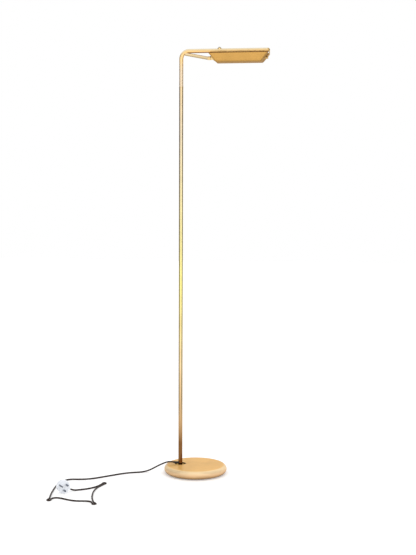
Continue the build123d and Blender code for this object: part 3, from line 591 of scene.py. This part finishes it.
# Flex: the route's points in millimetres, down from the bush, over the floor and up into the plug.
# FLEX_FLOOR is the height of its middle line where it lies on the floor, in millimetres too.
MILLIMETRE = 0.001
FLEX_DIAMETER = 0.006
FLEX_FLOOR = 3.1
flex_drop_route = [
    (-89.9, -10.1, 43.3),
    (-101.0, -14.2, 45.2),
    (-113.5, -17.5, 44.0),
    (-128.0, -19.5, 38.5),
    (-146.0, -21.0, 30.0),
    (-163.0, -22.5, 20.5),
    (-180.0, -25.5, 11.5),
    (-198.0, -30.5, 5.3),
]
flex_floor_route = [
    (-218.0, -38.0), (-239.0, -46.0), (-263.0, -57.5), (-292.0, -79.0), (-321.0, -108.5),
    (-350.0, -137.0), (-377.0, -163.0), (-403.0, -179.0), (-432.0, -187.0), (-459.0, -189.0),
    (-477.0, -203.0), (-487.0, -228.0), (-491.0, -262.0), (-489.5, -300.0), (-485.0, -340.0),
    (-479.5, -380.0), (-473.5, -415.0), (-468.3, -440.0), (-464.6, -456.0), (-463.7, -469.9),
    (-467.5, -480.3), (-463.5, -486.0), (-456.5, -486.0), (-452.5, -480.3), (-456.3, -469.9),
    (-454.8, -458.0), (-448.5, -449.8), (-437.0, -447.3), (-421.0, -451.5), (-402.0, -461.5),
    (-379.0, -471.5), (-355.0, -475.5), (-333.0, -471.8), (-317.0, -470.3), (-306.0, -474.0),
    (-299.5, -481.5), (-294.2, -490.8), (-291.9, -501.6), (-285.5, -504.4), (-279.5, -500.6),
    (-279.2, -493.7), (-287.8, -486.9), (-293.5, -476.5), (-300.5, -460.0), (-309.0, -437.0),
    (-317.5, -407.0), (-325.0, -372.0), (-329.8, -338.0), (-330.5, -310.0), (-329.0, -286.0),
    (-324.0, -266.0), (-319.5, -250.0), (-316.6, -235.5), (-310.8, -226.2), (-313.6, -219.7),
    (-320.4, -218.3), (-325.5, -223.1), (-324.0, -234.0), (-327.0, -248.0), (-332.0, -266.0),
    (-339.0, -283.0), (-349.0, -298.0), (-362.0, -312.0), (-377.0, -323.5), (-392.0, -332.5),
    (-402.5, -338.0),
]
flex_plug_route = [(-412.1, -343.9, 5.9), (-418.6, -348.6, 9.95)]
flex_route = flex_drop_route + [(x, y, FLEX_FLOOR) for x, y in flex_floor_route] + flex_plug_route
flex_points = [Vector(point) * MILLIMETRE for point in flex_route]

flex = nurbs("flex", flex_points, FLEX_DIAMETER, "flex", roundness=5, smoothness=8)
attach(flex, "stand")
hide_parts("cord")

# Filament: a fine coil along the lamp's middle, in place of its plain rod
COIL_TURNS = 52
COIL_STEPS = 8
COIL_WIRE = 0.0003
coil_low, coil_high = (Vector(corner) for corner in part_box("filament"))
coil_middle = (coil_low + coil_high) / 2
coil_radius = (coil_high.z - coil_low.z - COIL_WIRE) / 2
coil_points = []
for step in range(COIL_TURNS * COIL_STEPS + 1):
    share = step / (COIL_TURNS * COIL_STEPS)
    angle = 2 * pi * step / COIL_STEPS
    along = coil_low.x + (coil_high.x - coil_low.x) * share
    across = coil_middle.y + coil_radius * cos(angle)
    up = coil_middle.z + coil_radius * sin(angle)
    coil_points.append(Vector((along, across, up)))
filament_coil = nurbs("filament_coil", coil_points, COIL_WIRE, "tungsten", roundness=1, smoothness=2)
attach(filament_coil, "shade")
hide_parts("filament")


def stage_plane(name, width, length, place, turn, finish):
    """Flat rectangle of the studio."""
    side = width / 2
    end = length / 2
    corners = [(-side, -end, 0), (side, -end, 0), (side, end, 0), (-side, end, 0)]
    mesh = bpy.data.meshes.new(name)
    mesh.from_pydata(corners, [], [(0, 1, 2, 3)])
    mesh.materials.append(finish)
    plane = bpy.data.objects.new(name, mesh)
    plane.location = place
    plane.rotation_euler = turn
    bpy.context.scene.collection.objects.link(plane)
    return plane


def white_surface(name, tone, lift):
    """White surface that keeps its shadow, lifted to full white where it is looked at."""
    made, tree, shader = material(name, (tone, tone, tone), metallic=0.0, roughness=MATT)
    ray = tree.nodes.new("ShaderNodeLightPath")
    direct = calculate(tree, "MAXIMUM", ray.outputs["Is Camera Ray"], ray.outputs["Is Glossy Ray"])
    seen = calculate(tree, "MAXIMUM", direct, ray.outputs["Is Transmission Ray"])
    tree.links.new(calculate(tree, "MULTIPLY", seen, lift), shader.inputs["Emission Strength"])
    shader.inputs["Emission Color"].default_value = (*WHITE, 1)
    return made


def flag_cloth(name, across, tone):
    """Upright cloth beside the lamp that only its reflections see, for the dark edges of polished tubes."""
    cloth = plain(name + "_cloth", (tone, tone, tone), MATT)
    place = (across, 0, FLAG_HEIGHT / 2)
    flag = stage_plane(name, FLAG_WIDTH, FLAG_HEIGHT, place, FACING_SIDEWAYS, cloth)
    flag.visible_camera = False
    flag.visible_diffuse = False
    flag.visible_shadow = False


def softbox(name, place, aim, width, height, power):
    """Large soft lamp aimed at a point."""
    light = bpy.data.lights.new(name, "AREA")
    light.shape = "RECTANGLE"
    light.size = width
    light.size_y = height
    light.energy = power
    lamp = bpy.data.objects.new(name, light)
    lamp.location = place
    lamp.rotation_euler = (Vector(aim) - Vector(place)).to_track_quat("-Z", "Y").to_euler()
    bpy.context.scene.collection.objects.link(lamp)


floor_white = white_surface("floor_white", FLOOR_TONE, FLOOR_LIFT)
stage_plane("floor", FLOOR_SIDE, FLOOR_SIDE, (0, 0, 0), (0, 0, 0), floor_white)
for flag in FLAGS:
    flag_cloth(**flag)
for box in SOFTBOXES:
    softbox(**box)

world = bpy.data.worlds.new("room")
world.use_nodes = True
bpy.context.scene.world = world
room = world.node_tree.nodes["Background"]
room.inputs["Color"].default_value = (*WHITE, 1)
room.inputs["Strength"].default_value = ROOM_LEVEL

# Camera
camera_data = bpy.data.cameras.new("photo_camera")
camera_data.sensor_width = SENSOR
camera_data.lens = FOCAL_PIXELS * SENSOR / IMAGE_HEIGHT
camera = bpy.data.objects.new("photo_camera", camera_data)
camera.matrix_world = (
    Matrix.Translation(CAMERA_PLACE)
    @ Matrix.Rotation(CAMERA_HEADING, 4, "Z")
    @ Matrix.Rotation(pi / 2 - CAMERA_PITCH, 4, "X")
    @ Matrix.Rotation(CAMERA_ROLL, 4, "Z")
)
bpy.context.scene.collection.objects.link(camera)
bpy.context.scene.camera = camera
bpy.context.scene.view_settings.view_transform = "Standard"
